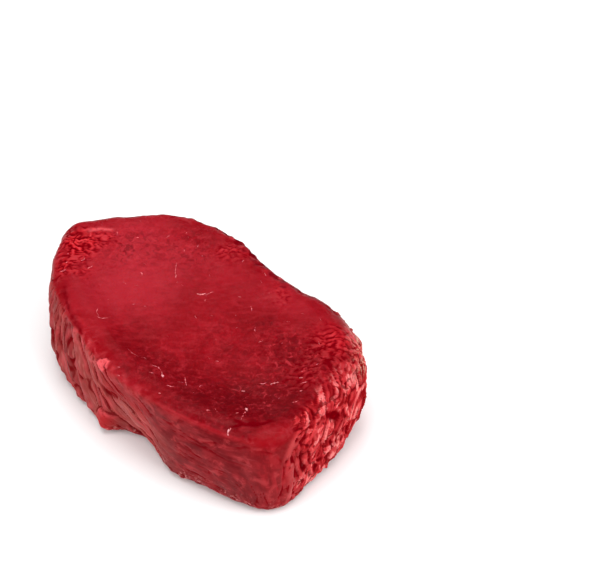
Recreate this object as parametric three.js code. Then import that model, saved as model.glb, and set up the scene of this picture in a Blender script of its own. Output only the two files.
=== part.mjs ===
// A thick raw beef round steak: one lean muscle cut across its grain, lying on its lower cut face.
// Millimetres, +Z up. The origin is on the resting plane, under the middle of the steak. +X runs along
// the steak from its tapered end to its blunt end, and -Y is the long flank where the bundles fan out.
import * as THREE from "three";
import { mergeVertices } from "three/addons/utils/BufferGeometryUtils.js";
import { ImprovedNoise } from "three/addons/math/ImprovedNoise.js";

// Driving dimensions
const RIM_LENGTH = 110;
const RIM_WIDTH = 66;
const THICKNESS = 32.5;
const RIM_RADIUS = 2.2;
const FOOT_RADIUS = 3;

// Mesh density: columns round the steak, and rows along its section
const COLUMNS = 200;
const TOP_RINGS = 11;
const RIM_ROWS = 5;
const WALL_ROWS = 8;
const FOOT_ROWS = 3;
// How much closer together the face's rings lie towards the two ends
const END_CROWDING = 0.45;

// The rim seen from above, anticlockwise from the blunt end, in half lengths and half widths of the steak
const RIM_POINTS = [
  [0.99, -0.05],
  [0.96, 0.28],
  [0.85, 0.69],
  [0.64, 0.88],
  [0.44, 0.93],
  [0.19, 0.89],
  [-0.06, 0.95],
  [-0.26, 1.0],
  [-0.6, 0.88],
  [-0.8, 0.59],
  [-1.03, 0.04],
  [-0.98, -0.17],
  [-0.77, -0.57],
  [-0.48, -0.81],
  [-0.12, -1.0],
  [0.25, -1.02],
  [0.54, -0.92],
  [0.8, -0.78],
  [0.93, -0.7],
  [0.99, -0.56],
  [0.99, -0.3],
];

// The upper cut face: a shallow dish, deepest towards the blunt end, inside a raised lip, with broad swells
// all over and finer crinkles that end at their reach from the rim
const DISH = { x: 22, y: -9, reachX: 30, reachY: 15, depth: 2.2 };
const LIP = { height: 0.9, inset: 6.5, width: 4 };
const FACE_SWELL = { height: 0.7, span: 26 };
const FACE_CRINKLE = { height: 0.6, span: 9, reach: 20 };

// How much rounder than its radius the rim is, by bearing in degrees from +X
const SOFT_RIM = [
  { bearing: 12, spread: 42, more: 2.6 },
  { bearing: 172, spread: 26, more: 1.2 },
];

// How far the wall stands outside the rim line, at the foot and half way up, by bearing
const FLARE = [
  { bearing: 215, spread: 30, foot: 2.2 },
  { bearing: 285, spread: 26, foot: -6.1 },
  { bearing: 302, spread: 10, foot: 2 },
  { bearing: 40, spread: 34, foot: -1.5 },
];
const BELLY = [
  { bearing: 40, spread: 38, out: 4.6 },
  { bearing: 215, spread: 30, out: 2.4 },
  { bearing: 320, spread: 30, out: 2.2 },
  { bearing: 130, spread: 50, out: 0.8 },
];

// The muscle bundles on the wall, by bearing once round: their lean from upright and the depth of the grooves
// between them. The grooves die out at a share of the thickness, below the rim.
const BUNDLE_PITCH = 7.6;
const BUNDLE_WANDER = { pitches: 0.45, span: 13, rise: 18 };
const GROOVE_END = 0.92;
const BUNDLES = [
  { bearing: 200, lean: 2, groove: 1.6 },
  { bearing: 240, lean: 14, groove: 1.6 },
  { bearing: 275, lean: 44, groove: 1.1 },
  { bearing: 303, lean: 68, groove: 0.45 },
  { bearing: 332, lean: 20, groove: 0.4 },
  { bearing: 350, lean: -28, groove: 1.0 },
  { bearing: 560, lean: 2, groove: 1.6 },
];
const WALL_SWELL = { height: 1.1, span: 15, rise: 20 };

// A loose tongue of meat at the foot of the flank
const TONGUE = { bearing: 259, spread: 4.6, height: 5, reach: 5.5, out: 3.4 };

const MEAT = { color: 0xa3202a, roughness: 0.38, metalness: 0 };

const { degToRad, radToDeg, lerp, smoothstep, clamp, euclideanModulo } = THREE.MathUtils;
const perlin = new ImprovedNoise();

function rimCurve() {
  const points = RIM_POINTS.map(
    ([along, across]) => new THREE.Vector3((along * RIM_LENGTH) / 2, (across * RIM_WIDTH) / 2, 0),
  );
  return new THREE.CatmullRomCurve3(points, true, "centripetal");
}

function bell(distance, spread) {
  return Math.exp(-((distance / spread) ** 2));
}

// The shortest way round from one bearing to another, in degrees
function bearingGap(bearing, other) {
  return euclideanModulo(bearing - other + 180, 360) - 180;
}

function sumOfBells(features, key, bearing) {
  return features.reduce((sum, f) => sum + f[key] * bell(bearingGap(bearing, f.bearing), f.spread), 0);
}

function bundlesAt(bearing) {
  const turned = bearing < BUNDLES[0].bearing ? bearing + 360 : bearing;
  const next = BUNDLES.findIndex((stop) => stop.bearing > turned);
  const [before, after] = [BUNDLES[next - 1], BUNDLES[next]];
  const share = smoothstep(turned, before.bearing, after.bearing);
  return {
    lean: degToRad(lerp(before.lean, after.lean, share)),
    groove: lerp(before.groove, after.groove, share),
  };
}

// Columns round the rim: each has its rim point, outward normal, bearing, rounding and bundles, and how many
// bundles come before it
function rimColumns() {
  const curve = rimCurve();
  const step = curve.getLength() / COLUMNS;
  let across = 0;
  const columns = Array.from({ length: COLUMNS }, (_, column) => {
    const point = curve.getPointAt(column / COLUMNS);
    const tangent = curve.getTangentAt(column / COLUMNS);
    const bearing = euclideanModulo(radToDeg(Math.atan2(point.y, point.x)), 360);
    const bundles = bundlesAt(bearing);
    const rounding = RIM_RADIUS + sumOfBells(SOFT_RIM, "more", bearing);
    across += Math.cos(bundles.lean) * step;
    const normal = new THREE.Vector3(tangent.y, -tangent.x, 0);
    return { point, normal, bearing, rounding, ...bundles, across };
  });
  const wholeBundles = Math.round(across / BUNDLE_PITCH);
  return columns.map((column) => ({ ...column, bundlesBefore: (wholeBundles * column.across) / across }));
}

function faceRelief(x, y, inset) {
  const dish = bell(x - DISH.x, DISH.reachX) * bell(y - DISH.y, DISH.reachY);
  const lip = bell(inset - LIP.inset, LIP.width);
  const swell = perlin.noise(x / FACE_SWELL.span, y / FACE_SWELL.span, 0.5);
  const nearRim = 1 - smoothstep(inset, FACE_CRINKLE.reach / 2, FACE_CRINKLE.reach);
  const crinkle = perlin.noise(x / FACE_CRINKLE.span, y / FACE_CRINKLE.span, 7.5) * nearRim;
  return (
    LIP.height * lip - DISH.depth * dish + FACE_SWELL.height * swell + FACE_CRINKLE.height * crinkle
  );
}

function noiseOnWall(point, height, { span, rise }, seed) {
  return perlin.noise(point.x / span, point.y / span, height / rise + seed);
}

// How far the wall stands out of the rim line at a height given as a share of the thickness
function wallOut(column, share) {
  const { point, bearing, lean, groove, bundlesBefore } = column;
  const height = share * THICKNESS;
  const flare = sumOfBells(FLARE, "foot", bearing) * (1 - share);
  const belly = sumOfBells(BELLY, "out", bearing) * 4 * share * (1 - share);
  const phase = bundlesBefore + ((height - THICKNESS / 2) * Math.sin(lean)) / BUNDLE_PITCH;
  const wander = BUNDLE_WANDER.pitches * noiseOnWall(point, height, BUNDLE_WANDER, 0);
  const between = Math.cos(Math.PI * (phase + wander)) ** 2;
  const fade = Math.sin(Math.PI * clamp(share / GROOVE_END, 0, 1)) ** 0.5;
  const swell = noiseOnWall(point, height, WALL_SWELL, 3);
  const tongue =
    bell(bearingGap(bearing, TONGUE.bearing), TONGUE.spread) * bell(height - TONGUE.height, TONGUE.reach);
  return (
    flare +
    belly -
    groove * between * fade +
    WALL_SWELL.height * swell * (1 - 0.5 * share) +
    TONGUE.out * tongue
  );
}

// The section from the middle of the underside, out to the foot, up the wall and over the rim to the middle
// of the upper face. Each row is a function of a column that gives a point.
function sectionRows() {
  const onFace = (share) => (column) => {
    const { point, normal, rounding } = column;
    const edge = point.clone().addScaledVector(normal, wallOut(column, 1) - rounding);
    const middle = new THREE.Vector3(edge.x * END_CROWDING * share, 0, 0);
    const ring = middle.lerp(edge, share);
    const inset = ring.distanceTo(edge) + rounding;
    return ring.setZ(THICKNESS + faceRelief(ring.x, ring.y, inset));
  };
  const outside = (inset, height) => (column) => {
    const out = wallOut(column, height / THICKNESS) - inset;
    const point = column.point.clone().addScaledVector(column.normal, out);
    const lift = faceRelief(point.x, point.y, inset) * smoothstep(height, FOOT_RADIUS, THICKNESS);
    return point.setZ(height + lift);
  };
  const steps = (count, make) => Array.from({ length: count }, (_, i) => make((i + 1) / count));
  const quarterTurn = (radius, turn) => [radius * (1 - Math.sin(turn)), radius * (1 - Math.cos(turn))];
  return [
    () => new THREE.Vector3(),
    (column) => outside(FOOT_RADIUS, 0)(column).multiplyScalar(0.5),
    outside(FOOT_RADIUS, 0),
    ...steps(FOOT_ROWS, (share) => {
      const [inset, lift] = quarterTurn(FOOT_RADIUS, (share * Math.PI) / 2);
      return outside(inset, lift);
    }),
    ...steps(WALL_ROWS, (share) => (column) => {
      const height = lerp(FOOT_RADIUS, THICKNESS - column.rounding, share);
      return outside(0, height)(column);
    }),
    ...steps(RIM_ROWS, (share) => (column) => {
      const [inset, drop] = quarterTurn(column.rounding, ((1 - share) * Math.PI) / 2);
      return outside(inset, THICKNESS - drop)(column);
    }),
    ...steps(TOP_RINGS, (share) => onFace(1 - share)),
  ];
}

function steakGeometry() {
  const rows = sectionRows();
  const columns = rimColumns();
  // The lathe gives the closed grid of columns and rows, and each of its vertices is then moved into place.
  const section = rows.map((_, row) => new THREE.Vector2(Math.sin((Math.PI * row) / (rows.length - 1)), row));
  const lathe = new THREE.LatheGeometry(section, COLUMNS);
  const position = lathe.getAttribute("position");
  for (let vertex = 0; vertex < position.count; vertex++) {
    const column = columns[Math.floor(vertex / rows.length) % COLUMNS];
    const { x, y, z } = rows[vertex % rows.length](column);
    position.setXYZ(vertex, x, y, z);
  }
  lathe.deleteAttribute("normal");
  lathe.deleteAttribute("uv");
  const steak = mergeVertices(lathe, 1e-4);
  steak.computeBoundingBox();
  const { min, max } = steak.boundingBox;
  steak.translate(-(min.x + max.x) / 2, -(min.y + max.y) / 2, -min.z);
  steak.computeVertexNormals();
  return steak;
}

const steak = new THREE.Mesh(steakGeometry(), new THREE.MeshStandardMaterial(MEAT));
steak.name = "steak";

const part = new THREE.Group();
part.add(steak);

export default part;
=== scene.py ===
"""The looks of a thick raw beef round steak: a moist red cut face, ridged sides and flecks of white tissue.

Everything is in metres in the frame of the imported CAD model, +Z up, and the relief is worked out in
millimetres. X runs along the steak from its tapered end to its blunt end.
"""
import math

import bpy
import numpy as np
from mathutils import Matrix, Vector
from mathutils.bvhtree import BVHTree


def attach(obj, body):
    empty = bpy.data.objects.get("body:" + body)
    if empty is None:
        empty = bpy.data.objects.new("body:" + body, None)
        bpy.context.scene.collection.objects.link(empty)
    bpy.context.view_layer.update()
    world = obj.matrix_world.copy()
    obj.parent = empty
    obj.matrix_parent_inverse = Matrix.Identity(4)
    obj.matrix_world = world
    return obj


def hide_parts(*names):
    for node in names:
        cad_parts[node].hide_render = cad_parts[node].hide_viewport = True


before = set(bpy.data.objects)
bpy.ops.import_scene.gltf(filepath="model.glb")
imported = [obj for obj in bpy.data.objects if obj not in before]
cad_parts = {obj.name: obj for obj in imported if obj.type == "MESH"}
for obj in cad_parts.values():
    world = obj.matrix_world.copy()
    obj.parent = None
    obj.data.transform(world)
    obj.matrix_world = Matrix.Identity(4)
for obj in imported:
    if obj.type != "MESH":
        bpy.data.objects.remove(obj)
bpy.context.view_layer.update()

MM = 0.001

# The voxels of the steak's fine mesh and the thickness that the solid is made with, in millimetres
VOXEL = 0.52
THICKNESS = 32.5

# The camera in degrees and millimetres: it looks at a point of the floor behind the steak.
CAMERA_AZIMUTH = 43.0
CAMERA_ELEVATION = 45.0
CAMERA_DISTANCE = 570.0
CAMERA_TARGET = (-3.85, 52.65, 0.0)
CAMERA_LENS = 102.6
SENSOR_WIDTH = 36.0

# Area lights: the azimuth from the camera's, elevation, distance, width and height in metres, and the power
LIGHTS = {
    "key": (62.0, 40.0, 1.3, (0.9, 0.9), 12.0),
    "fill": (-50.0, 34.0, 1.2, (0.9, 0.9), 8.4),
    "sheen": (192.0, 46.0, 1.0, (0.35, 0.25), 0.5),
}
OVERHEAD = {"height": 1.4, "size": (1.0, 1.0), "power": 15.0}
WORLD_STRENGTH = 0.14

# The floor in metres, a hair below the steak
FLOOR_SIZE = 6.0
FLOOR_HEIGHT = -0.0001

# The way the fine wisps of the cut face run, in degrees from +X
WISP_TURN = 43.0

# Regions of the side by bearing, in degrees anticlockwise from +X. The front wall and the long flank have
# the bearings where they begin, are full, wane and end, and the others have a middle and a spread.
FRONT = (287.0, 301.0, 329.0, 345.0)
FLANK = (180.0, 205.0, 286.0, 316.0)
BLUNT_END = (14.0, 32.0)
FAR_SIDE = (95.0, 62.0)
BACK_SKIN = (130.0, 70.0)
FLAT_WALL = (312.0, 17.0)
CALM_CORNER = (338.0, 8.0)
RAGGED_EDGE = (80.0, 28.0)
WIDER_EDGE = (61.0, 12.0)
# Where pale flecks are painted along the rim as a highlight and as glints
NEAR_RIM = (282.0, 24.0)
LEFT_RIM = (243.0, 15.0)
PALE_CLUSTER = (29.0, 7.0)
GLINT = (29.0, 9.0)

# The bearings where the flank's smooth upper part and the blunt end's flakes begin
SMOOTH_TOP_FROM = 262.0
FLAKES_FROM = 346.0

# Where the sides are paler or darker: bearing and spread in degrees, and how much; the darker left wall is
# painted shade
SIDE_TONES = [(277.0, 20.0, 0.3), (225.0, 18.0, -0.18)]

# The lean of the muscle fibres from upright, in degrees, by bearing once round the steak
FIBRE_LEAN = [(200, 2), (240, 14), (275, 40), (298, 82), (324, 84), (337, 8), (350, -28), (560, 2)]

# Patches of curly relief on the cut face: x, y, reach and height in millimetres
CURLY_PATCHES = [
    (-46.5, -4.0, 7.0, 0.22),
    (-41.0, 5.0, 4.0, 0.08),
    (-41.5, -14.0, 3.6, 0.13),
    (-35.5, -11.5, 3.5, 0.07),
    (-7.0, 26.5, 4.2, 0.07),
    (-11.5, 23.8, 4.2, 0.06),
    (17.5, 22.6, 3.6, 0.05),
    (12.5, 24.6, 4.0, 0.05),
    (41.0, 19.0, 7.5, 0.13),
    (44.0, 4.0, 8.0, 0.07),
    (27.0, 6.0, 9.0, 0.03),
]

# Patches of the cut face where paler and darker flecks show: x, y, reach and strength
MOTTLED_PATCHES = [
    (14.0, 0.5, 9.0, 0.4),
    (29.0, 8.0, 7.0, 0.8),
    (40.0, 9.5, 9.0, 1.0),
    (-34.0, 6.0, 9.0, 0.8),
    (-20.0, 19.0, 10.0, 0.7),
    (30.0, -17.0, 14.0, 0.55),
    (40.0, -10.0, 10.0, 0.6),
    (6.0, -22.0, 12.0, 0.45),
]

# Creases along the rim, sunk and painted dark as shade: corner points, then the depth and the half width
# in millimetres
CREASES = [
    ([(-38.5, -17.6), (-31.0, -22.9), (-25.2, -26.3), (-19.4, -28.3), (-15.0, -29.8)], 0.3, 1.0),
    ([(39.0, -24.8), (44.6, -21.0), (47.4, -17.2), (49.4, -12.5)], 0.4, 1.3),
]

# Large folds of the side at its front right corner: corner points as a bearing and a height in millimetres,
# then the half width and how far it stands out, in millimetres, and how pale it is
FOLDS = [
    ([(354.8, 28.2), (354.2, 25.0), (354.5, 21.5)], 0.7, 0.35, 0.5),
    ([(357.2, 19.4), (354.6, 18.6), (351.6, 19.5)], 0.75, 0.4, 0.55),
    ([(6.2, 14.6), (5.9, 10.4), (4.6, 9.0), (3.6, 7.6), (1.2, 6.2)], 0.95, 0.5, 1.0),
    ([(2.2, 17.0), (4.4, 11.0), (3.1, 8.0)], 0.7, 0.35, 0.9),
    ([(7.8, 19.4), (6.4, 15.6), (8.4, 11.4)], 0.95, 0.4, 0.7),
    ([(12.8, 18.6), (9.6, 18.6), (8.8, 16.4)], 0.6, 0.4, 0.6),
    ([(7.2, 25.2), (9.8, 24.0), (12.8, 18.4)], 0.6, 0.35, 0.65),
    ([(1.8, 30.8), (359.2, 30.5), (358.4, 28.5), (355.8, 27.4)], 1.0, 0.3, 0.38),
    ([(350.6, 20.6), (350.2, 15.9), (352.0, 11.4), (354.8, 4.2)], 0.6, 0.4, 0.6),
    ([(346.2, 22.2), (346.9, 16.0), (348.6, 11.8), (351.8, 6.8)], 0.7, 0.4, 0.5),
    ([(347.2, 27.8), (344.8, 27.2), (342.8, 23.0)], 1.5, 0.2, 0.42),
    ([(343.6, 20.0), (344.4, 14.0), (346.0, 8.0)], 1.3, 0.25, 0.3),
    ([(341.0, 9.0), (346.4, 3.6)], 1.2, 0.2, 0.35),
    ([(10.6, 30.6), (7.8, 30.0)], 1.3, 0.25, 0.45),
    ([(16.2, 29.2), (14.2, 27.4)], 0.7, 0.35, 0.8),
    ([(359.4, 15.4), (2.7, 8.4)], 0.35, 0.15, 0.5),
]

# Slits between them, sunk and painted dark as shade: corner points as a bearing and a height, then the half
# width and the depth, in millimetres
SLITS = [
    ([(348.6, 27.0), (349.0, 23.4)], 0.5, 0.6),
    ([(348.5, 23.0), (348.6, 18.9), (348.9, 13.0)], 0.65, 1.1),
    ([(351.6, 17.4), (352.0, 12.6)], 0.7, 0.4),
    ([(344.6, 24.0), (344.8, 20.5)], 0.45, 0.2),
    ([(359.4, 28.8), (2.9, 25.0), (5.6, 22.0)], 1.2, 0.5),
    ([(0.6, 16.8), (3.6, 9.8)], 0.45, 0.4),
]

# Where the cut face is darker or paler: x, y, reach along and across, the turn of that in degrees, and how
# much. The first is a painted sheen where a soft light would reflect, and the dark pool by the front lip is
# partly painted shade.
TONES = [
    # a painted sheen, where a soft light would reflect
    (-23.0, 0.0, 23.0, 18.0, 0.0, 0.9),
    (4.0, 8.0, 14.0, 13.0, 0.0, -0.4),
    (40.0, 9.0, 10.0, 13.0, 0.0, -0.8),
    # the dark pool by the front lip, partly painted shade
    (36.0, -17.0, 17.0, 9.0, 25.0, -1.0),
    (6.0, -22.0, 24.0, 8.0, 0.0, -0.4),
    (48.0, -6.0, 7.0, 8.0, 0.0, -0.8),
    (50.0, -17.5, 6.0, 4.5, 60.0, 0.6),
    (32.0, -26.5, 13.0, 4.0, 22.0, -0.7),
    (24.0, 22.0, 14.0, 8.0, 0.0, 0.4),
    (22.0, 10.0, 8.0, 6.0, 0.0, -0.3),
    (-8.0, 20.0, 14.0, 8.0, 0.0, 0.35),
    (-38.0, 13.0, 8.0, 6.0, 20.0, 0.5),
    (44.0, -24.0, 5.0, 3.0, 30.0, -0.6),
    (-25.0, -18.0, 12.0, 9.0, 0.0, 0.3),
    (4.5, -30.5, 7.5, 3.0, 4.0, -0.45),
    (21.5, -1.5, 9.0, 5.0, 40.0, -0.35),
    (10.5, 15.5, 10.0, 8.0, 0.0, 0.45),
    (20.5, 14.0, 4.5, 3.5, 40.0, -0.6),
]

# White threads and specks on the cut face: corner points in millimetres, then the width
THREADS = [
    ([(-18.2, 11.7), (-16.4, 9.9), (-14.0, 7.1)], 0.45),
    ([(-15.0, 8.2), (-13.8, 6.8)], 0.7),
    ([(-23.4, 1.3), (-22.0, 0.6)], 0.45),
    ([(-3.6, 6.0), (-1.7, 8.2)], 0.9),
    ([(-1.8, 7.8), (-0.4, 10.2)], 0.35),
    ([(-21.0, -19.1), (-18.4, -21.2)], 0.45),
    ([(-18.3, -21.3), (-16.9, -20.7), (-15.4, -18.6)], 0.55),
    ([(5.5, 2.9), (6.2, 3.3)], 0.6),
    ([(12.0, 13.9), (13.4, 12.5)], 0.4),
    ([(18.5, 8.7), (20.0, 7.5)], 0.5),
    ([(-2.1, -24.4), (0.2, -24.6), (2.3, -23.8)], 0.24),
    ([(2.9, -23.5), (4.6, -22.6)], 0.2),
    ([(7.2, -23.6), (9.6, -22.9), (11.4, -23.4), (12.9, -24.2)], 0.4),
    ([(12.3, -24.0), (13.7, -24.8)], 1.15),
    ([(9.4, -26.3), (10.5, -25.4)], 0.5),
    ([(17.6, -19.4), (19.0, -20.9), (20.4, -22.1)], 0.5),
    ([(16.9, -26.4), (18.8, -24.8)], 0.5),
    ([(17.4, -30.1), (18.0, -29.6)], 0.8),
    ([(13.8, -33.4), (14.5, -32.9)], 0.8),
    ([(2.8, -33.0), (3.6, -32.6)], 0.6),
    ([(1.2, -31.2), (1.9, -30.8)], 0.4),
    ([(41.1, -25.3), (42.1, -26.5)], 1.0),
    ([(41.4, -24.6), (41.9, -25.6)], 0.4),
    ([(39.1, -16.0), (40.4, -17.2)], 1.2),
    ([(40.2, -17.6), (41.0, -19.0)], 0.65),
    ([(41.2, -19.3), (41.9, -20.9)], 0.5),
    ([(33.0, -11.8), (33.7, -11.0)], 1.1),
    ([(34.8, -6.4), (36.3, -4.7)], 0.4),
    ([(37.4, -4.3), (39.1, -2.2)], 0.95),
    ([(42.5, 2.7), (43.3, 3.4)], 1.0),
    ([(44.5, 0.9), (45.6, 3.0)], 0.45),
    ([(46.3, -1.3), (46.8, -0.6)], 0.75),
    ([(47.9, -6.2), (48.7, -4.3)], 0.5),
    ([(31.9, -25.3), (32.9, -24.6)], 0.8),
    ([(6.4, 13.8), (7.5, 14.6)], 0.4),
    ([(7.1, 23.2), (8.2, 22.6)], 0.4),
    ([(18.6, -8.3), (19.4, -7.6)], 0.65),
    ([(-39.9, -8.5), (-40.3, -7.2), (-40.8, -6.3)], 0.5),
    ([(-36.0, -9.5), (-36.4, -8.4), (-36.1, -7.3)], 0.5),
    ([(-42.2, -15.8), (-41.4, -15.2), (-40.5, -14.3)], 0.75),
    ([(-43.3, -12.5), (-42.3, -11.7)], 0.45),
    ([(-45.6, -9.4), (-45.3, -8.7)], 0.65),
    ([(-45.3, -11.8), (-45.5, -10.7)], 0.45),
    ([(-35.5, 10.6), (-34.8, 11.1)], 0.45),
]

# Specks scattered between them: how many, and the ranges of their place, length and width in millimetres
LOOSE_SPECKS = {
    "count": 44,
    "x": (-42.0, 46.0),
    "y": (-24.0, 26.0),
    "length": (0.3, 2.0),
    "width": (0.12, 0.32),
}

# The loose flap at the foot of the flank: its bearing and half width in degrees, then its height and how far
# it stands out, in millimetres
FLAP = {"bearing": 259.0, "half": 7.0, "height": 9.0, "out": 0.8}

# A pale knob on the near rim, and a painted highlight line on the rim at the tapered end
KNOB = (-4.2, -33.0)
PALE_LINE = [(-48.6, 0.6), (-46.2, 5.0), (-42.0, 8.9)]

# The bearing at the back of the steak where the unrolled pattern of the sides is joined
BACK_SEAM = 130.0


def smoothstep(value, low, high):
    share = np.clip((value - low) / (high - low), 0.0, 1.0)
    return share * share * (3.0 - 2.0 * share)


def bell(distance, reach):
    return np.exp(-((distance / reach) ** 2))


def bearing_of(points):
    return np.degrees(np.arctan2(points[:, 1], points[:, 0])) % 360.0


def bearing_gap(bearing, other):
    return (bearing - other + 180.0) % 360.0 - 180.0


def waves(points, wavelength, seed, along=None, spread=180.0, count=18):
    """An uneven pattern of ridges about one wavelength apart, with a spread of about 1 round 0.

    Points are (n, 2) or (n, 3) in millimetres. With along, the waves travel within spread degrees of that
    2-D direction, so the ridges run across it."""
    draw = np.random.default_rng(seed)
    total = np.zeros(len(points))
    for _ in range(count):
        if along is None:
            direction = draw.normal(size=points.shape[1])
            direction /= np.linalg.norm(direction)
        else:
            turn = math.radians(along + draw.uniform(-spread, spread))
            direction = np.array([math.cos(turn), math.sin(turn)])
        number = 2.0 * math.pi / (wavelength * draw.uniform(0.62, 1.6))
        total += np.cos(points @ direction * number + draw.uniform(0.0, 2.0 * math.pi))
    return total * math.sqrt(2.0 / count)


def read(mesh):
    """The vertices' points in millimetres, and their normals."""
    points = np.empty(len(mesh.vertices) * 3)
    mesh.vertices.foreach_get("co", points)
    normals = np.empty(len(mesh.vertices) * 3)
    mesh.vertices.foreach_get("normal", normals)
    return points.reshape(-1, 3) / MM, normals.reshape(-1, 3)


def write(mesh, points):
    mesh.vertices.foreach_set("co", (points * MM).ravel())
    mesh.update()


def edge_pairs(mesh):
    edges = np.empty(len(mesh.edges) * 2, dtype=np.int64)
    mesh.edges.foreach_get("vertices", edges)
    return edges.reshape(-1, 2)


def neighbour_mean(values, edges):
    first, second = edges.T
    count = np.bincount(edges.ravel(), minlength=len(values))
    total = [
        np.bincount(first, column[second], len(values)) + np.bincount(second, column[first], len(values))
        for column in values.reshape(len(values), -1).T
    ]
    return (np.stack(total, axis=1) / count[:, None]).reshape(values.shape)


def relaxed(values, edges, rounds):
    for _ in range(rounds):
        values = values + 0.6 * (neighbour_mean(values, edges) - values)
    return values


def shade_smooth(mesh):
    mesh.polygons.foreach_set("use_smooth", np.ones(len(mesh.polygons), dtype=bool))
    mesh.update()


def remeshed_copy(source, name):
    piece = bpy.data.objects.new(name, source.data.copy())
    bpy.context.scene.collection.objects.link(piece)
    even = piece.modifiers.new("even", "REMESH")
    even.mode = "VOXEL"
    even.voxel_size = VOXEL * MM
    mesh = bpy.data.meshes.new_from_object(piece.evaluated_get(bpy.context.evaluated_depsgraph_get()))
    piece.modifiers.clear()
    piece.data = mesh
    return piece


class Outline:
    """The steak's outline seen from above, as a radius and an arc length by bearing."""

    STEP = 2.0

    def __init__(self, points):
        band = points[(points[:, 2] > 0.7 * THICKNESS) & (points[:, 2] < 0.85 * THICKNESS)]
        self.bearings = np.arange(0.0, 360.0, self.STEP)
        slot = np.round(bearing_of(band) / self.STEP).astype(int) % len(self.bearings)
        radius = np.bincount(slot, np.hypot(band[:, 0], band[:, 1])) / np.bincount(slot)
        for _ in range(3):
            radius = (np.roll(radius, 1) + 2.0 * radius + np.roll(radius, -1)) / 4.0
        self.radii = radius
        slope = (np.roll(radius, -1) - np.roll(radius, 1)) / math.radians(2.0 * self.STEP)
        self.steps = np.hypot(radius, slope) * math.radians(self.STEP)
        self.squareness = radius / np.hypot(radius, slope)

    def at(self, bearing, values):
        """Values of the outline's own bearings, at other bearings."""
        return np.interp(bearing, np.append(self.bearings, 360.0), np.append(values, values[0]))

    def inset(self, points, bearing):
        """The distance of each point in from the outline."""
        radius = np.hypot(points[:, 0], points[:, 1])
        return (self.at(bearing, self.radii) - radius) * self.at(bearing, self.squareness)

    def run(self, bearing, share_at, seam):
        """The length round the outline from a seam to a bearing, each step counted by its share."""
        steps = np.roll(self.steps * share_at(self.bearings), -int(seam / self.STEP))
        run = np.concatenate([[0.0], np.cumsum(steps)])
        return np.interp((bearing - seam) % 360.0, np.append(self.bearings, 360.0), run)

    def chart(self, bearing, height):
        """Millimetres round the outline from the seam at the back, and up."""
        return np.stack([self.run(bearing, np.ones_like, BACK_SEAM), height], axis=1)


def fibre_lean(bearing):
    """The fibres' lean from upright in radians."""
    turned = np.where(bearing < FIBRE_LEAN[0][0], bearing + 360.0, bearing)
    lean = np.full(np.shape(turned), float(FIBRE_LEAN[0][1]))
    for (start, before), (end, after) in zip(FIBRE_LEAN, FIBRE_LEAN[1:]):
        lean += (after - before) * smoothstep(turned, start, end)
    return np.radians(lean)


def unrolled(outline, bearing, climb, seam):
    """Millimetres across and along the fibres of the side.

    The climb is the way up the side from mid-height, and the seam is the bearing where the unrolling
    starts."""
    lean = fibre_lean(bearing)
    across = outline.run(bearing, lambda b: np.cos(fibre_lean(b)), seam) + climb * np.sin(lean)
    along = climb * np.cos(lean) - outline.run(bearing, lambda b: np.sin(fibre_lean(b)), seam)
    return np.stack([across, along], axis=1)


def cells(flat, seed):
    """Cells about one unit wide. For each point this gives how far in from its cell's edge it is, a shade of
    0 to 1 that its cell has, and the height there of its cell's tilted plane, from about -0.5 to 0.5."""
    columns, rows = 97, 89
    table = np.random.default_rng(seed).uniform(size=(columns, rows, 5))
    base = np.floor(flat).astype(int)
    near, following, shade, plane = np.full((4, len(flat)), np.inf)
    for step in np.ndindex(3, 3):
        cell = base + np.array(step) - 1
        chance = table[cell[:, 0] % columns, cell[:, 1] % rows]
        offset = flat - cell - chance[:, :2]
        away = np.linalg.norm(offset, axis=1)
        closer = away < near
        following = np.where(closer, near, np.minimum(following, away))
        shade = np.where(closer, chance[:, 2], shade)
        plane = np.where(closer, ((2.0 * chance[:, 3:] - 1.0) * offset).sum(axis=1), plane)
        near = np.where(closer, away, near)
    return following - near, shade, plane


def side_pattern(fibres, points):
    """Patterns of the side in unrolled millimetres: the edge and shade of the long bundles, the edge, shade
    and tilt of two sizes of flake, and fine streaks."""
    wander = 0.9 * waves(fibres / (1.0, 3.0), 10.0, 41) + 0.15 * waves(points, 5.0, 42)
    edge, shade, _ = cells((fibres + np.stack([wander, wander], axis=1)) / (3.1, 24.0), 43)
    bent = fibres + 1.1 * np.stack([waves(points, 11.0, 46), waves(points, 11.0, 47)], axis=1)
    flakes = cells(bent / (2.9, 5.2), 44)
    chips = cells(bent / (1.3, 2.6), 45)
    streak = waves(fibres + 0.3 * wander[:, None], 1.9, 44, along=0.0, spread=6.0)
    return np.stack([edge, shade, *flakes, *chips, streak])


def line_distance(points, corners):
    """The distance in plan from each point to a line of corners."""
    flat = points[:, :2]
    best = np.full(len(flat), np.inf)
    for a, b in zip(np.array(corners[:-1]), np.array(corners[1:])):
        share = np.clip((flat - a) @ (b - a) / ((b - a) @ (b - a)), 0.0, 1.0)
        best = np.minimum(best, np.linalg.norm(flat - a - share[:, None] * (b - a), axis=1))
    return best


def drawn_line(points, corners, width, taper):
    """How much of a soft line is at each point, in plan. It fades out over a taper at its two ends."""
    ends = [np.linalg.norm(points[:, :2] - np.array(corner), axis=1) for corner in (corners[0], corners[-1])]
    wander = 0.3 * width * waves(points, 7.0, 31)
    line = bell(line_distance(points, corners) + wander, width)
    return line * smoothstep(np.minimum(*ends), 0.0, taper)


def spots(points, patches):
    """The sum of round patches in plan, each with a place, a reach and an amount."""
    return sum(
        amount * bell(np.hypot(points[:, 0] - x, points[:, 1] - y), reach) for x, y, reach, amount in patches
    )


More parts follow.
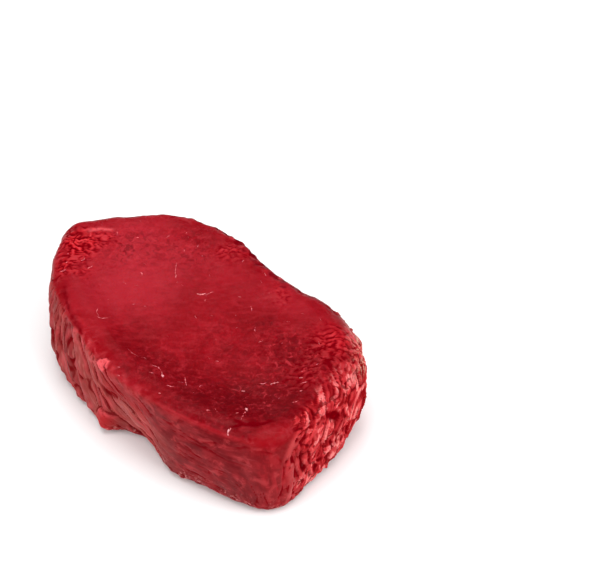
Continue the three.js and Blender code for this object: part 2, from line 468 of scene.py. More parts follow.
def tones(points):
    """How much paler or darker than the rest the cut face is at each point, painted sheen and shade among
    it.
    """
    tone = np.zeros(len(points))
    for x, y, reach, breadth, turn, amount in TONES:
        c, s = math.cos(math.radians(turn)), math.sin(math.radians(turn))
        dx, dy = points[:, 0] - x, points[:, 1] - y
        tone += amount * bell(dx * c + dy * s, reach) * bell(dy * c - dx * s, breadth)
    return tone


def evened(mesh, edges):
    """Takes away the steps that the voxels leave, and more so on the front wall. It gives back which points
    are on the floor."""
    points, _ = read(mesh)
    height = points[:, 2]
    floor = height < 0.3
    smooth = relaxed(points, edges, 6)
    middle, spread = FLAT_WALL
    wall = bell(bearing_gap(bearing_of(points), middle), spread)
    level = wall * smoothstep(height, 1.0, 6.0) * smoothstep(height, 30.0, 24.0)
    smooth += level[:, None] * (relaxed(smooth, edges, 50) - smooth)
    smooth[floor, 2] = points[floor, 2]
    write(mesh, smooth)
    return floor


class Relief:
    """How far each vertex of the steak stands out, in millimetres, and what the meat's material needs.

    Names of regions, such as side, flank and flaky, are shares of 0 to 1: how far a vertex belongs there."""

    def __init__(self, mesh, edges):
        self.points, self.normals = read(mesh)
        self.outline = Outline(self.points)
        self.height = self.points[:, 2]
        self.bearing = bearing_of(self.points)
        self.inset = self.outline.inset(self.points, self.bearing)
        self.up = self.facing_up(0.35, 0.85)
        self.side = (1.0 - smoothstep(np.abs(self.normals[:, 2]), 0.2, 0.75)) * self.above(0.2, 2.0)
        self.far = self.near(*FAR_SIDE)
        self.front = self.stretch(*FRONT)
        self.flank = self.stretch(*FLANK)
        self.smooth_top = smoothstep(self.gap(SMOOTH_TOP_FROM), -4.0, 8.0) * self.above(17.0, 22.0)
        self.calm = (
            (1.0 - 0.85 * self.front)
            * (1.0 - 0.8 * self.smooth_top * self.flank)
            * (1.0 - 0.7 * self.near(*CALM_CORNER))
        )
        self.flaky = smoothstep(self.near(*BLUNT_END), 0.1, 0.48)
        self.flaky *= smoothstep(self.gap(FLAKES_FROM), -7.0, 6.0)
        self.over_rim = self.flakes_over_rim()
        self.pink = np.zeros(len(self.points))
        self.attributes = {}
        self.rise = self.sides() + self.face() + self.rim() + self.foot()
        self.finish_looks(edges)

    def gap(self, bearing):
        return bearing_gap(self.bearing, bearing)

    def near(self, bearing, spread):
        return bell(self.gap(bearing), spread)

    def stretch(self, begins, full, wanes, ends):
        """1 from one bearing to another, fading away before and after them."""
        middle = (full + wanes) / 2.0
        from_middle = self.gap(middle) + middle
        return smoothstep(from_middle, begins, full) * smoothstep(from_middle, ends, wanes)

    def above(self, low, high):
        return smoothstep(self.height, low, high)

    def facing_up(self, low, high):
        return smoothstep(self.normals[:, 2], low, high)

    def waves(self, wavelength, seed):
        return waves(self.points, wavelength, seed)

    def flakes_over_rim(self):
        """How far the flakes of the blunt end carry on over the rim, onto the cut face."""
        reach = 4.5 + 6.5 * smoothstep(self.gap(350.0), 0.0, 14.0) * smoothstep(self.gap(0.0), 34.0, 20.0)
        over_rim = self.flaky * smoothstep(self.inset + 1.8 * self.waves(7.0, 51), reach, 0.36 * reach)
        return over_rim * self.above(18.0, 24.0) * smoothstep(self.gap(0.0), 40.0, 30.0)

    def unrolled_pattern(self):
        """The fibres' coordinates, and the side's pattern. Near the seam it comes from another unrolling."""
        at_rim = self.above(0.75 * THICKNESS, 0.9 * THICKNESS)
        climb = self.height - THICKNESS / 2.0 + at_rim * np.clip(self.inset, 0.0, 12.0)
        at_back = self.near(BACK_SEAM, 22.0)
        fibres = unrolled(self.outline, self.bearing, climb, BACK_SEAM)
        other = unrolled(self.outline, self.bearing, climb, BACK_SEAM + 180.0)
        pattern = (1.0 - at_back) * side_pattern(fibres, self.points)
        return fibres, pattern + at_back * side_pattern(other, self.points)

    def sides(self):
        """Long bundles of muscle with crevices between them, short flakes at the blunt end, and on top of
        these the corner's folds and the flap."""
        fibres, (bundle_edge, bundle_shade, *flakes_and_chips, streak) = self.unrolled_pattern()
        flake_edge, flake_shade, flake_tilt, chip_edge, chip_shade, chip_tilt = flakes_and_chips
        bundled = 1.0 - self.flaky
        skirt = np.maximum(self.side, self.over_rim)
        bundle_shade = 0.5 + 0.7 * (bundle_shade - 0.5)
        parted = smoothstep(waves(fibres / (1.0, 2.0), 7.0, 48), -0.3, 0.9) * self.calm * bundled
        crevice = parted * bell(3.0 * bundle_edge, 0.55)
        between_flakes = bell(2.5 * flake_edge, 0.35) * smoothstep(self.waves(6.0, 50), -0.2, 1.0)
        crevice += 0.6 * self.flaky * between_flakes
        ridge = parted * bell(3.0 * bundle_edge - 1.2, 0.5)
        flake_round = smoothstep(flake_edge, 0.0, 0.3)
        flake_body = 0.3 + 0.7 * flake_round
        chip_body = 0.3 + 0.7 * smoothstep(chip_edge, 0.0, 0.3)

        strip = bundled * bundle_shade + self.flaky * 0.5
        strip += 0.5 * self.flaky * ((flake_shade - 0.5) * flake_body + (chip_shade - 0.5) * chip_body)
        strip += self.flaky * (0.5 - strip) * 0.4 * smoothstep(np.abs(self.gap(0.0)), 18.0, 42.0)
        strip += 0.06 * self.flaky * self.near(9.0, 9.0)
        strip += sum(amount * self.near(bearing, spread) for bearing, spread, amount in SIDE_TONES)
        # painted highlight: the ridges beside the crevices painted pinker, where they would catch the light
        self.pink += 0.35 * ridge * self.flank * self.side
        self.attributes.update(
            strip=strip,
            streak=np.clip(0.5 + 0.3 * streak, 0.0, 1.0),
            crevice=np.clip(1.3 * crevice * skirt, 0.0, 1.0),
            across=fibres[:, 0],
            along=fibres[:, 1],
        )

        bundles = 0.55 * (bundle_shade - 0.5) + 0.25 * (smoothstep(bundle_edge, 0.0, 0.25) - 0.5)
        flakes = 1.3 * flake_tilt * flake_body + 0.6 * chip_tilt * chip_body + 0.3 * (flake_round - 0.5)
        flakes *= 0.7 + 0.5 * np.clip(self.waves(8.0, 65), -1.0, 1.0)
        sides = skirt * (
            self.calm * bundled * bundles
            + self.flaky * flakes
            - (0.7 - 0.35 * self.flaky) * crevice
            + (0.02 + 0.03 * self.flaky) * streak * (1.0 - 0.7 * self.front)
            + 0.15 * self.waves(7.0, 49) * self.calm
        )
        return self.flap(self.corner_folds(sides))

    def corner_folds(self, sides):
        """The few large folds next to the corner, over the smaller flakes, and the slits between them."""
        chart = self.outline.chart(self.bearing, self.height)
        slit, slit_depth, fold, fold_out, fold_pale = np.zeros((5, len(self.points)))
        for corners, width, depth in SLITS:
            amount = drawn_line(chart, self.outline.chart(*np.array(corners).T), width, 1.4) * self.side
            slit, slit_depth = np.maximum(slit, amount), np.maximum(slit_depth, depth * amount)
        for corners, width, out, pale in FOLDS:
            amount = drawn_line(chart, self.outline.chart(*np.array(corners).T), width, 1.4) * self.side
            amount *= 1.0 - slit
            fold, fold_out = np.maximum(fold, amount), np.maximum(fold_out, out * amount)
            fold_pale = np.maximum(fold_pale, pale * amount)
        self.attributes.update(fold=np.clip(fold_pale, 0.0, 1.0), slit=np.clip(1.5 * slit, 0.0, 1.0))
        return (1.0 - 0.7 * np.maximum(fold, slit)) * sides + fold_out - slit_depth

    def flap(self, sides):
        """The loose flap at the foot of the flank, with a thin upper edge."""
        half, aside = FLAP["half"], self.gap(FLAP["bearing"])
        top = FLAP["height"] * (1.0 - 0.5 * smoothstep(aside, -0.3 * half, -half))
        top += 0.4 * self.waves(6.0, 61)
        flap = smoothstep(top - self.height, -0.2, 0.5) * smoothstep(aside, -half, -0.85 * half)
        flap *= smoothstep(aside, 1.6 * half, 0.2 * half) * self.side
        self.pink += 0.9 * flap * bell(top - self.height, 0.7)
        self.attributes.update(flap=flap)
        return (1.0 - 0.85 * flap) * sides + FLAP["out"] * flap

    def face(self):
        """The cut face: smooth, with curly patches."""
        bend = np.stack([self.waves(4.0, seed) for seed in (21, 22, 23)], axis=1)
        curls = np.abs(waves(self.points + 0.6 * bend, 2.7, 24))
        patch = spots(self.points, CURLY_PATCHES)
        self.attributes.update(
            curly=np.clip(patch * 5.0, 0.0, 1.0) ** 1.5 * self.up,
            # the height of the curls, for their painted highlights and shade
            curl=np.clip(0.7 * curls, 0.0, 1.0),
        )
        curled = patch * 2.0 * (np.minimum(curls, 1.4) - 0.7)
        uneven = 0.015 * self.waves(1.7, 25) + 0.05 * self.waves(12.0, 27)
        return self.up * (1.0 - self.over_rim) * (curled + uneven)

    def rim(self):
        """The rim: slightly uneven, with creases along its inner edge and a pale knob."""
        rim = bell(self.inset - 1.5, 3.0) * self.above(0.8 * THICKNESS, 0.95 * THICKNESS)
        uneven = rim * (0.14 * self.waves(9.0, 32) + 0.13 * self.far * self.waves(2.8, 33))
        crease = self.up * sum(
            depth * drawn_line(self.points, corners, width, 5.0) for corners, depth, width in CREASES
        )
        from_knob = np.hypot((self.points[:, 0] - KNOB[0]) / 1.2, self.points[:, 1] - KNOB[1])
        knob = smoothstep(from_knob + 0.4 * self.waves(2.4, 62), 1.8, 1.2) * self.above(28.5, 30.0)
        self.pink += 1.3 * knob + self.pale_rim()
        self.attributes.update(rim=rim, crease=np.clip(crease * 2.0, 0.0, 1.0))
        return uneven - crease + 0.25 * knob

    def flecks(self, region, inset, reach, size, seed, levels):
        """Flecks of a size on a region of the rim, within reach of a line where the inset given is 0. They
        show between two levels of their pattern."""
        return self.near(*region) * bell(inset, reach) * smoothstep(self.waves(size, seed), *levels)

    def pale_rim(self):
        """Pale flecks and painted highlights along the rim, and a painted highlight line at its tapered end.
        """
        near_rim = self.inset + 0.5 * self.waves(9.0, 63)
        near_rim = self.flecks(NEAR_RIM, near_rim, reach=1.5, size=3.0, seed=64, levels=(-0.2, 1.0))
        left_rim = self.inset - 0.2 + 0.4 * self.waves(6.0, 67)
        left_rim = self.flecks(LEFT_RIM, left_rim, reach=0.8, size=3.2, seed=68, levels=(-0.6, 0.8))
        cluster = self.inset - 2.5
        cluster = self.flecks(PALE_CLUSTER, cluster, reach=2.2, size=2.4, seed=69, levels=(0.1, 1.0))
        # painted highlights: pale flecks along the far rim
        far_rim = self.inset - 1.2
        far_rim = self.flecks(FAR_SIDE, far_rim, reach=1.0, size=2.6, seed=72, levels=(0.6, 1.4))
        return (
            0.22 * near_rim * self.above(25.0, 28.0)
            + 0.6 * left_rim * self.above(26.0, 29.0)
            + 0.8 * cluster
            + 0.6 * far_rim * self.above(28.0, 30.0)
            + 0.7 * drawn_line(self.points, PALE_LINE, 0.6, 2.5) * self.above(29.0, 31.0)
        )

    def foot(self):
        """The foot's ragged edge."""
        return bell(self.height - 1.5, 2.5) * self.above(0.2, 1.0) * self.side * 0.2 * self.waves(2.8, 34)

    def ragged_edge(self):
        """The dark band along the rim's far edge, wider where the rim turns in to the blunt end."""
        reach = 2.2 + 1.6 * self.near(*WIDER_EDGE)
        band = smoothstep(self.inset + 0.8 * self.waves(3.0, 71) - reach, 1.6, 0.0)
        return 0.8 * band * self.near(*RAGGED_EDGE)

    def finish_looks(self, edges):
        """The attributes that are for colour alone."""
        hollow = relaxed(self.rise, edges, 10) - self.rise
        mottled = np.clip(spots(self.points, MOTTLED_PATCHES), 0.0, 1.0)
        fibrous = np.maximum(self.flank, 0.6 * self.near(*BACK_SKIN))
        hem = np.maximum(bell(self.height - 1.8, 1.5), 0.6 * self.front * bell(self.height - 4.0, 3.0))
        far_edge = np.maximum(self.facing_up(0.96, 0.84), self.ragged_edge())
        self.attributes.update(
            # how sunk each point is, for painted shade in the hollows and painted highlights on the ridges
            hollow=np.clip(0.5 + 3.0 * hollow, 0.0, 1.0),
            tone=np.clip(0.5 + 0.5 * tones(self.points) * self.facing_up(0.5, 0.9), 0.0, 1.0),
            mottled=mottled * self.facing_up(0.5, 0.9) * (1.0 - 0.7 * self.over_rim),
            side=self.side,
            flank=fibrous * self.side * (1.0 - 0.85 * self.smooth_top),
            front=self.front * self.side,
            flaky=self.flaky * np.maximum(self.side, self.over_rim * smoothstep(self.inset, 8.0, 2.0)),
            pink=np.clip(self.pink, 0.0, 1.0),
            glint=self.near(*GLINT) * bell(self.inset, 2.5) * self.above(24.0, 28.0),
            far_rim=self.far * far_edge * self.facing_up(0.1, 0.5) * self.above(24.0, 28.0),
            # pale specks and streaks at the hem, partly painted glints
            hem=hem * smoothstep(self.waves(6.0, 66), -0.6, 0.5) * self.side,
            # painted shade: the underside at the foot, facing down by the floor
            foot=bell(self.height, 1.6) * self.facing_up(-0.9, -0.2),
        )


def carve(piece):
    """Gives the steak's surface its relief, and keeps what its material needs as attributes."""
    mesh = piece.data
    edges = edge_pairs(mesh)
    floor = evened(mesh, edges)
    relief = Relief(mesh, edges)
    moved = relief.points + relief.normals * relief.rise[:, None]
    moved[:, 2] = np.maximum(moved[:, 2], 0.0)
    moved[floor] = relief.points[floor]
    write(mesh, moved)
    for name, values in relief.attributes.items():
        attribute = mesh.attributes.new(name, "FLOAT", "POINT")
        attribute.data.foreach_set("value", values.astype(np.float32))
    shade_smooth(mesh)
    return piece


class Nodes:
    """Builds a material's nodes with short calls."""

    def __init__(self, name):
        self.material = bpy.data.materials.new(name)
        self.material.use_nodes = True
        self.tree = self.material.node_tree
        self.shader = self.tree.nodes["Principled BSDF"]

    def node(self, kind, inputs=None, **settings):
        node = self.tree.nodes.new(kind)
        for key, value in settings.items():
            setattr(node, key, value)
        for key, value in (inputs or {}).items():
            self.plug(value, node.inputs[key])
        return node

    def plug(self, value, socket):
        if isinstance(value, bpy.types.NodeSocket):
            self.tree.links.new(value, socket)
        else:
            socket.default_value = value

    def shade(self, inputs):
        """Sets the shader's own inputs."""
        for key, value in inputs.items():
            self.plug(value, self.shader.inputs[key])

    def attribute(self, name):
        return self.node("ShaderNodeAttribute", attribute_name=name).outputs["Fac"]

    def noise(self, scale, detail=2.0, roughness=0.5, distortion=0.0, drawn_out=None):
        """Noise in the steak's own coordinates, and if wanted drawn out along the wisps of the cut face."""
        place = self.node("ShaderNodeTexCoord").outputs["Object"]
        if drawn_out:
            turn = (0.0, 0.0, math.radians(WISP_TURN))
            turned = {"Vector": place, "Rotation": turn, "Scale": (drawn_out, 1.0, 1.0)}
            place = self.node("ShaderNodeMapping", turned, vector_type="TEXTURE").outputs["Vector"]
        look = {"Scale": scale, "Detail": detail, "Roughness": roughness, "Distortion": distortion}
        return self.node("ShaderNodeTexNoise", {"Vector": place, **look}).outputs["Fac"]

    def fibres(self, across, along, detail):
        """Noise drawn out along the fibres of the sides, with the sizes of its streaks in millimetres."""
        place = self.node(
            "ShaderNodeCombineXYZ",
            {
                "X": self.times(self.attribute("across"), 1.0 / across),
                "Y": self.times(self.attribute("along"), 1.0 / along),
            },
        ).outputs["Vector"]
        look = {"Scale": 1.0, "Detail": detail, "Roughness": 0.6}
        return self.node("ShaderNodeTexNoise", {"Vector": place, **look}).outputs["Fac"]

    def range(self, value, low, high, to_low=0.0, to_high=1.0):
        """A value eased from one range to another. A name stands for the attribute of that name."""
        if isinstance(value, str):
            value = self.attribute(value)
        return self.node(
            "ShaderNodeMapRange",
            {"Value": value, "From Min": low, "From Max": high, "To Min": to_low, "To Max": to_high},
            interpolation_type="SMOOTHSTEP",
        ).outputs["Result"]

    def math(self, operation, first, second):
        return self.node("ShaderNodeMath", {0: first, 1: second}, operation=operation).outputs[0]

    def times(self, first, second):
        return self.math("MULTIPLY", first, second)

    def plus(self, first, second):
        return self.math("ADD", first, second)

    def greater(self, first, second):
        return self.math("MAXIMUM", first, second)

    def mix(self, share, first, second):
        node = self.node("ShaderNodeMix", data_type="RGBA")
        for socket, value in zip((node.inputs[0], node.inputs[6], node.inputs[7]), (share, first, second)):
            self.plug(value, socket)
        return node.outputs[2]

    def bump(self, height, strength, distance):
        inputs = {"Height": height, "Strength": strength, "Distance": distance}
        return self.node("ShaderNodeBump", inputs).outputs["Normal"]


def srgb(red, green, blue):
    """A shader colour from 8-bit display values."""
    channels = [c / 255.0 for c in (red, green, blue)]
    return tuple(c / 12.92 if c <= 0.04045 else ((c + 0.055) / 1.055) ** 2.4 for c in channels) + (1.0,)


DEEP_RED = srgb(104, 0, 8)


def cut_face(n):
    """The cut face: deep red, with paler wisps, dark specks and patches of both, painted sheen and painted
    shade.
    """
    blotch = n.noise(90.0, 3.0, 0.55, 0.6)
    grain = n.noise(620.0, 3.0, 0.6, 0.5, drawn_out=2.4)
    fleck = n.noise(520.0, 3.0, 0.6, 0.8, drawn_out=1.8)
    colour = n.mix(n.range(blotch, 0.36, 0.66), srgb(124, 6, 16), srgb(142, 12, 24))
    # Darker where the tone is low, in the pool partly painted shade, and paler where it is high, a painted
    # sheen
    colour = n.mix(n.range("tone", 0.5, 0.0), colour, DEEP_RED)
    colour = n.mix(n.range("tone", 0.5, 1.0), colour, srgb(158, 28, 40))
    colour = n.mix(n.times(n.range(grain, 0.42, 0.66), 0.2), colour, srgb(172, 44, 54))
    speckled = n.times(n.range(n.noise(60.0, 2.0), 0.35, 0.65), n.range("tone", 0.95, 0.3, 0.35, 1.0))
    colour = n.mix(n.times(n.range(fleck, 0.46, 0.66, 0.0, 0.62), speckled), colour, DEEP_RED)
    shadowed = n.times(n.range("tone", 0.5, 0.15), n.range(n.noise(330.0, 3.0, 0.65, 1.0), 0.45, 0.62))
    colour = n.mix(n.times(shadowed, 0.6), colour, srgb(84, 0, 6))
    mottle = n.noise(540.0, 3.0, 0.62, 0.9)
    dark = n.times(n.attribute("mottled"), n.range(mottle, 0.5, 0.4, 0.0, 0.75))
    light = n.times(n.attribute("mottled"), n.range(mottle, 0.55, 0.68, 0.0, 0.6))
    colour = n.mix(dark, colour, srgb(94, 0, 8))
    colour = n.mix(light, colour, srgb(188, 50, 60))

    wisp = n.range(n.noise(420.0, 3.0, 0.62, 0.5, drawn_out=1.6), 0.48, 0.66, 0.0, 0.6)
    rim = n.mix(n.range(blotch, 0.4, 0.6), srgb(140, 8, 18), srgb(154, 24, 34))
    rim = n.mix(wisp, rim, srgb(182, 58, 66))
    colour = n.mix(n.times(n.attribute("rim"), n.range("tone", 0.2, 0.5, 0.15, 0.7)), colour, rim)
    # The curls are painted paler on their ridges as a highlight, and darker between them as shade
    curl = n.mix(n.range("curl", 0.05, 0.8), srgb(122, 0, 8), srgb(186, 20, 30))
    curl = n.mix(n.range("curl", 0.75, 1.0, 0.0, 0.7), curl, srgb(214, 62, 68))
    return n.mix(n.times(n.attribute("curly"), 0.85), colour, curl)


def over_sides(n, colour, threads):
    """The sides: bare red meat, the streaked front wall, the flank's paler skin, and flakes with painted
    highlights.
    """
    fibre = n.fibres(1.6, 9.0, 3.0)
    tint = n.plus(n.times(n.attribute("strip"), 0.5), n.times(fibre, 0.5))
    skin = n.mix(n.range(tint, 0.25, 0.65), srgb(117, 30, 32), srgb(145, 54, 52))
    skin = n.mix(n.range(tint, 0.6, 0.85, 0.0, 0.8), skin, srgb(170, 88, 86))
    skin = n.mix(n.range(threads, 0.5, 0.75, 0.0, 0.55), skin, srgb(190, 108, 100))
    bare = n.mix(n.range(fibre, 0.35, 0.65), srgb(124, 6, 14), srgb(160, 24, 32))
    layer = n.plus(n.times(n.fibres(1.8, 4.5, 3.0), 0.5), n.times(n.noise(150.0, 3.0, 0.6), 0.5))
    streak = n.times(n.range(threads, 0.55, 0.75, 0.0, 0.5), n.range(layer, 0.45, 0.6))
    streaked = n.mix(n.range(layer, 0.38, 0.6), srgb(100, 5, 13), srgb(131, 24, 30))
    streaked = n.mix(streak, streaked, srgb(166, 62, 68))
    colour = n.mix(n.attribute("side"), colour, bare)
    colour = n.mix(n.attribute("front"), colour, streaked)
    colour = n.mix(n.attribute("flank"), colour, skin)
    blot = n.noise(250.0, 3.0, 0.62, 0.6)
    open_side = n.times(n.attribute("side"), n.math("SUBTRACT", 1.0, n.attribute("flank")))
    colour = n.mix(n.times(open_side, n.range(blot, 0.52, 0.68, 0.0, 0.4)), colour, srgb(190, 60, 64))
    colour = n.mix(n.times(open_side, n.range(blot, 0.47, 0.34, 0.0, 0.4)), colour, srgb(96, 2, 10))
    flake = n.mix(n.range(tint, 0.38, 0.62), srgb(126, 5, 11), srgb(206, 57, 62))
    # Painted highlights: a share of the flakes painted pale pink, where wet facets would catch the light
    pale = n.times(n.range("strip", 0.55, 0.74), n.range(threads, 0.38, 0.6, 0.25, 1.0))
    flake = n.mix(n.times(pale, 0.9), flake, srgb(242, 140, 138))
    flake = n.mix(n.range("strip", 0.36, 0.18, 0.0, 0.75), flake, srgb(98, 0, 6))
    return n.mix(n.attribute("flaky"), colour, flake)


def over_details(n, colour, threads):
    """Folds and slits, the flap, bright and dark edges, painted shade in hollows and crevices, and pale
    bits.
    """
    # Painted shade in the slits
    colour = n.mix(n.attribute("slit"), colour, srgb(116, 0, 8))
    fold = n.times(n.attribute("fold"), n.range(n.noise(420.0, 3.0, 0.6, 0.4), 0.38, 0.56, 0.55, 1.05))
    colour = n.mix(n.range(fold, 0.0, 0.5, 0.0, 0.7), colour, srgb(196, 66, 68))
    colour = n.mix(n.range(fold, 0.4, 1.0, 0.0, 0.95), colour, srgb(246, 146, 142))
    colour = n.mix(n.times(n.attribute("flap"), 0.85), colour, srgb(172, 28, 34))
    glint = n.times(n.attribute("glint"), n.range(n.noise(760.0, 3.0, 0.6, 0.5), 0.46, 0.6))
    colour = n.mix(glint, colour, srgb(252, 192, 170))
    colour = n.mix(n.times(n.attribute("far_rim"), 0.85), colour, srgb(74, 8, 20))
    # Painted shade in the hollows, and a painted highlight on the ridges
    colour = n.mix(n.range("hollow", 0.54, 0.85, 0.0, 0.8), colour, DEEP_RED)
    colour = n.mix(n.range("hollow", 0.46, 0.15, 0.0, 0.2), colour, srgb(200, 50, 58))
    # Painted shade in the crevices between bundles and flakes
    colour = n.mix(n.times(n.attribute("crevice"), 0.85), colour, srgb(116, 6, 14))
    # Painted shade in the creases
    colour = n.mix(n.times(n.attribute("crease"), 0.8), colour, srgb(98, 0, 8))
    # Pale bits, among them painted highlights on ridges and along the rim
    pink = n.times(n.attribute("pink"), n.range(n.noise(900.0, 2.0), 0.3, 0.55, 0.5, 1.0))
    colour = n.mix(pink, colour, srgb(216, 84, 90))
    # Painted shade: the underside at the foot painted dark
    colour = n.mix(n.times(n.attribute("foot"), 0.7), colour, srgb(72, 16, 26))
    # Pale specks and streaks at the hem, partly painted glints
    bits = n.greater(n.range(n.noise(1000.0, 2.0), 0.53, 0.62), n.range(threads, 0.58, 0.7))
    return n.mix(n.times(n.attribute("hem"), bits), colour, srgb(222, 138, 136))


def moist_surface(n):
    """The gloss of the moist surface, duller on the bare sides, in the flakes and down in the hollows."""
    dry = n.times(n.attribute("side"), n.math("SUBTRACT", 1.0, n.attribute("flaky")))
    sunk = n.greater(n.attribute("crevice"), n.range("hollow", 0.52, 0.66))
    matt = n.greater(n.greater(n.attribute("flaky"), n.attribute("far_rim")), sunk)
    rough = n.greater(dry, n.times(matt, 0.9))
    wet = n.range(n.noise(190.0, 2.0, 0.5), 0.3, 0.7, 0.22, 0.36)
    wetness = n.plus(0.14, n.times(n.attribute("curly"), 0.1))
    pits = n.plus(n.noise(900.0, 3.0, 0.6, 0.3), n.times(n.noise(2600.0, 2.0, 0.5), 0.4))
    n.shade(
        {
            "Roughness": n.plus(wet, n.times(rough, 0.3)),
            "Specular IOR Level": n.times(wetness, n.math("SUBTRACT", 1.0, matt)),
            "Normal": n.bump(pits, 0.3, 0.0002),
            "IOR": 1.38,
            "Specular Tint": (1.0, 0.5, 0.5, 1.0),
            "Subsurface Weight": 0.25,
            "Subsurface Scale": 0.0018,
            "Subsurface Radius": (1.0, 0.25, 0.15),
        }
    )


def meat_material():
    n = Nodes("raw_beef")
    threads = n.fibres(0.7, 5.0, 2.0)
    colour = over_details(n, over_sides(n, cut_face(n), threads), threads)
    n.shade({"Base Color": colour})
    moist_surface(n)
    return n.material


def tissue_material():
    n = Nodes("white_tissue")
    shade = n.range(n.noise(1100.0, 2.0), 0.38, 0.56)
    colour = n.mix(shade, srgb(158, 26, 36), srgb(226, 108, 118))
    bright = n.times(n.attribute("bright"), n.range(shade, 0.0, 1.0, 0.4, 1.0))
    n.shade(
        {
            "Base Color": n.mix(bright, colour, srgb(250, 190, 192)),
            "Roughness": n.range(n.noise(400.0), 0.3, 0.7, 0.25, 0.45),
            "Subsurface Weight": 0.2,
            "Subsurface Scale": 0.0008,
        }
    )
    return n.material


def floor_material():
    n = Nodes("pale_floor")
    n.shade({"Base Color": (0.93, 0.93, 0.93, 1.0), "Roughness": 0.9, "Specular IOR Level": 0.1})
    return n.material


class Tissue:
    """Collects white threads and specks that lie half sunk in the steak's surface."""

    SIDES = 6
    STEP = 0.15

    def __init__(self, carrier):
        mesh = carrier.data
        self.tree = BVHTree.FromPolygons(
            [v.co for v in mesh.vertices], [p.vertices for p in mesh.polygons]
        )
        self.draw = np.random.default_rng(11)
        self.points = []
        self.faces = []
        self.bright = []

    def land(self, x, y):
        """The point and normal of the surface at a place given in millimetres."""
        above = Vector((x * MM, y * MM, 0.1))
        hit, normal, _, _ = self.tree.ray_cast(above, Vector((0.0, 0.0, -1.0)))
        return hit, normal

    def thread(self, corners, width):
        """A thread along a line of corners, slightly bent, that swells and thins to its two ends."""
        corners = np.array(corners, dtype=float)
        run = np.r_[0.0, np.cumsum(np.linalg.norm(np.diff(corners, axis=0), axis=1))]
        length = run[-1]
        count = max(7, int(length / self.STEP))
        places = np.linspace(0.0, length, count)
        path = np.stack([np.interp(places, run, corners[:, axis]) for axis in (0, 1)], axis=1)
        slope = np.gradient(path, axis=0)
        aside = np.stack([-slope[:, 1], slope[:, 0]], axis=1) / np.linalg.norm(slope, axis=1)[:, None]
        turns = self.draw.uniform(0.4, 1.1) * places / length + self.draw.uniform()
        path += min(0.25, 0.08 * length) * np.sin(2.0 * math.pi * turns)[:, None] * aside
        turns = places / self.draw.uniform(0.7, 1.4) + self.draw.uniform()
        swell = 0.75 + 0.25 * np.sin(2.0 * math.pi * turns)
        rings = []
        for share, (x, y), size in zip(places / length, path, swell):
            hit, normal = self.land(x, y)
            if hit is None:
                return
            half = 0.4 * width * size * MM * (0.12 + 0.88 * math.sin(math.pi * share) ** 0.8)
            rings.append((hit, normal, half))
        self.tube(rings)
        self.bright += [min(0.6, max(0.0, 1.2 * width - 0.9))] * (count * self.SIDES)

    def tube(self, rings):
        """Adds a closed tube through rings, each with its middle, the surface's normal and a half width."""
        start, last = len(self.points), len(rings) - 1
        for index, (middle, normal, half) in enumerate(rings):
            ahead = rings[min(index + 1, last)][0] - rings[max(index - 1, 0)][0]
            across = ahead.cross(normal).normalized()
            for side in range(self.SIDES):
                turn = 2.0 * math.pi * side / self.SIDES
                offset = across * math.cos(turn) * half + normal * (0.45 * math.sin(turn) + 0.1) * half
                self.points.append(middle + offset)
        for ring in range(last):
            for side in range(self.SIDES):
                a = start + ring * self.SIDES + side
                b = start + ring * self.SIDES + (side + 1) % self.SIDES
                self.faces.append((a, b, b + self.SIDES, a + self.SIDES))
        self.faces.append(tuple(start + side for side in reversed(range(self.SIDES))))
        self.faces.append(tuple(start + last * self.SIDES + side for side in range(self.SIDES)))

    def piece(self, name):
        mesh = bpy.data.meshes.new(name)
        mesh.from_pydata(self.points, [], self.faces)
        mesh.attributes.new("bright", "FLOAT", "POINT").data.foreach_set("value", self.bright)
        shade_smooth(mesh)
        piece = bpy.data.objects.new(name, mesh)
        bpy.context.scene.collection.objects.link(piece)
        return piece


def white_tissue(steak):
    tissue = Tissue(steak)
    for corners, width in THREADS:
        tissue.thread(corners, width)
    draw = np.random.default_rng(7)
    for _ in range(LOOSE_SPECKS["count"]):
        x, y = draw.uniform(*LOOSE_SPECKS["x"]), draw.uniform(*LOOSE_SPECKS["y"])
        turn, length = draw.uniform(0.0, math.pi), draw.uniform(*LOOSE_SPECKS["length"])
        end = (x + math.cos(turn) * length, y + math.sin(turn) * length)
        tissue.thread([(x, y), end], draw.uniform(*LOOSE_SPECKS["width"]))
    piece = tissue.piece("white_tissue")
    piece.data.materials.append(tissue_material())
    return piece


def pale_floor():
    bpy.ops.mesh.primitive_plane_add(size=FLOOR_SIZE, location=(0.0, 0.0, FLOOR_HEIGHT))
    floor = bpy.context.object
    floor.name = "floor"
    floor.data.materials.append(floor_material())
    return floor


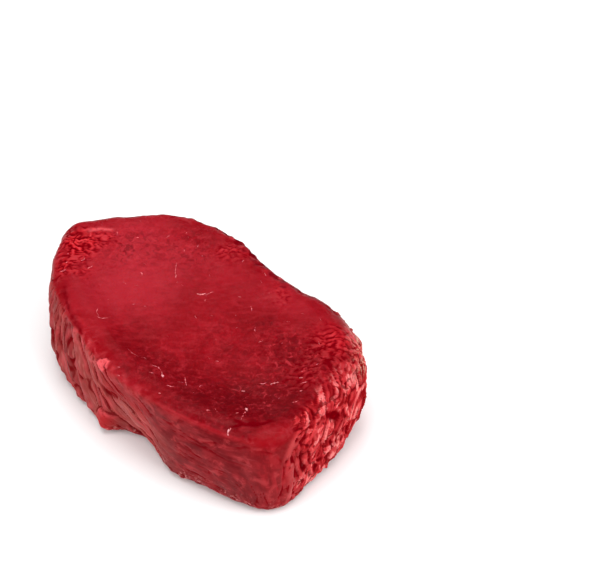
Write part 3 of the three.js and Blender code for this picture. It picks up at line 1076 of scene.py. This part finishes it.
def viewpoint(azimuth, elevation, distance):
    """A place in metres, seen from the floor's origin as the camera's azimuth and elevation are."""
    a, e = math.radians(azimuth), math.radians(elevation)
    return Vector((math.sin(a) * math.cos(e), -math.cos(a) * math.cos(e), math.sin(e))) * distance


def area_light(name, place, size, power):
    """An area light that faces the floor's origin."""
    light = bpy.data.lights.new(name, "AREA")
    light.shape = "RECTANGLE"
    light.size, light.size_y = size
    light.energy = power
    lamp = bpy.data.objects.new(name, light)
    bpy.context.scene.collection.objects.link(lamp)
    lamp.location = place
    lamp.rotation_euler = (Vector((0.0, 0.0, 0.0)) - place).to_track_quat("-Z", "Y").to_euler()


def studio():
    world = bpy.data.worlds.new("studio")
    world.use_nodes = True
    background = world.node_tree.nodes["Background"]
    background.inputs["Color"].default_value = (1.0, 1.0, 1.0, 1.0)
    background.inputs["Strength"].default_value = WORLD_STRENGTH
    bpy.context.scene.world = world
    bpy.context.scene.view_settings.view_transform = "Standard"
    bpy.context.scene.view_settings.look = "None"
    bpy.context.scene.view_settings.exposure = 0.0
    area_light("overhead", Vector((0.0, 0.0, OVERHEAD["height"])), OVERHEAD["size"], OVERHEAD["power"])
    for name, (turn, elevation, distance, size, power) in LIGHTS.items():
        area_light(name, viewpoint(CAMERA_AZIMUTH + turn, elevation, distance), size, power)


def photo_camera():
    camera = bpy.data.cameras.new("camera")
    camera.lens = CAMERA_LENS
    camera.sensor_width = SENSOR_WIDTH
    camera.clip_start = 0.01
    eye = bpy.data.objects.new("camera", camera)
    bpy.context.scene.collection.objects.link(eye)
    back = viewpoint(CAMERA_AZIMUTH, CAMERA_ELEVATION, CAMERA_DISTANCE * MM)
    eye.location = Vector(CAMERA_TARGET) * MM + back
    eye.rotation_euler = (-back).to_track_quat("-Z", "Y").to_euler()
    bpy.context.scene.camera = eye


photo_camera()
studio()

steak = carve(remeshed_copy(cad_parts["steak"], "steak_surface"))
steak.data.materials.clear()
steak.data.materials.append(meat_material())
tissue = white_tissue(steak)
floor = pale_floor()

for piece in (steak, tissue):
    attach(piece, "root")
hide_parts("steak")
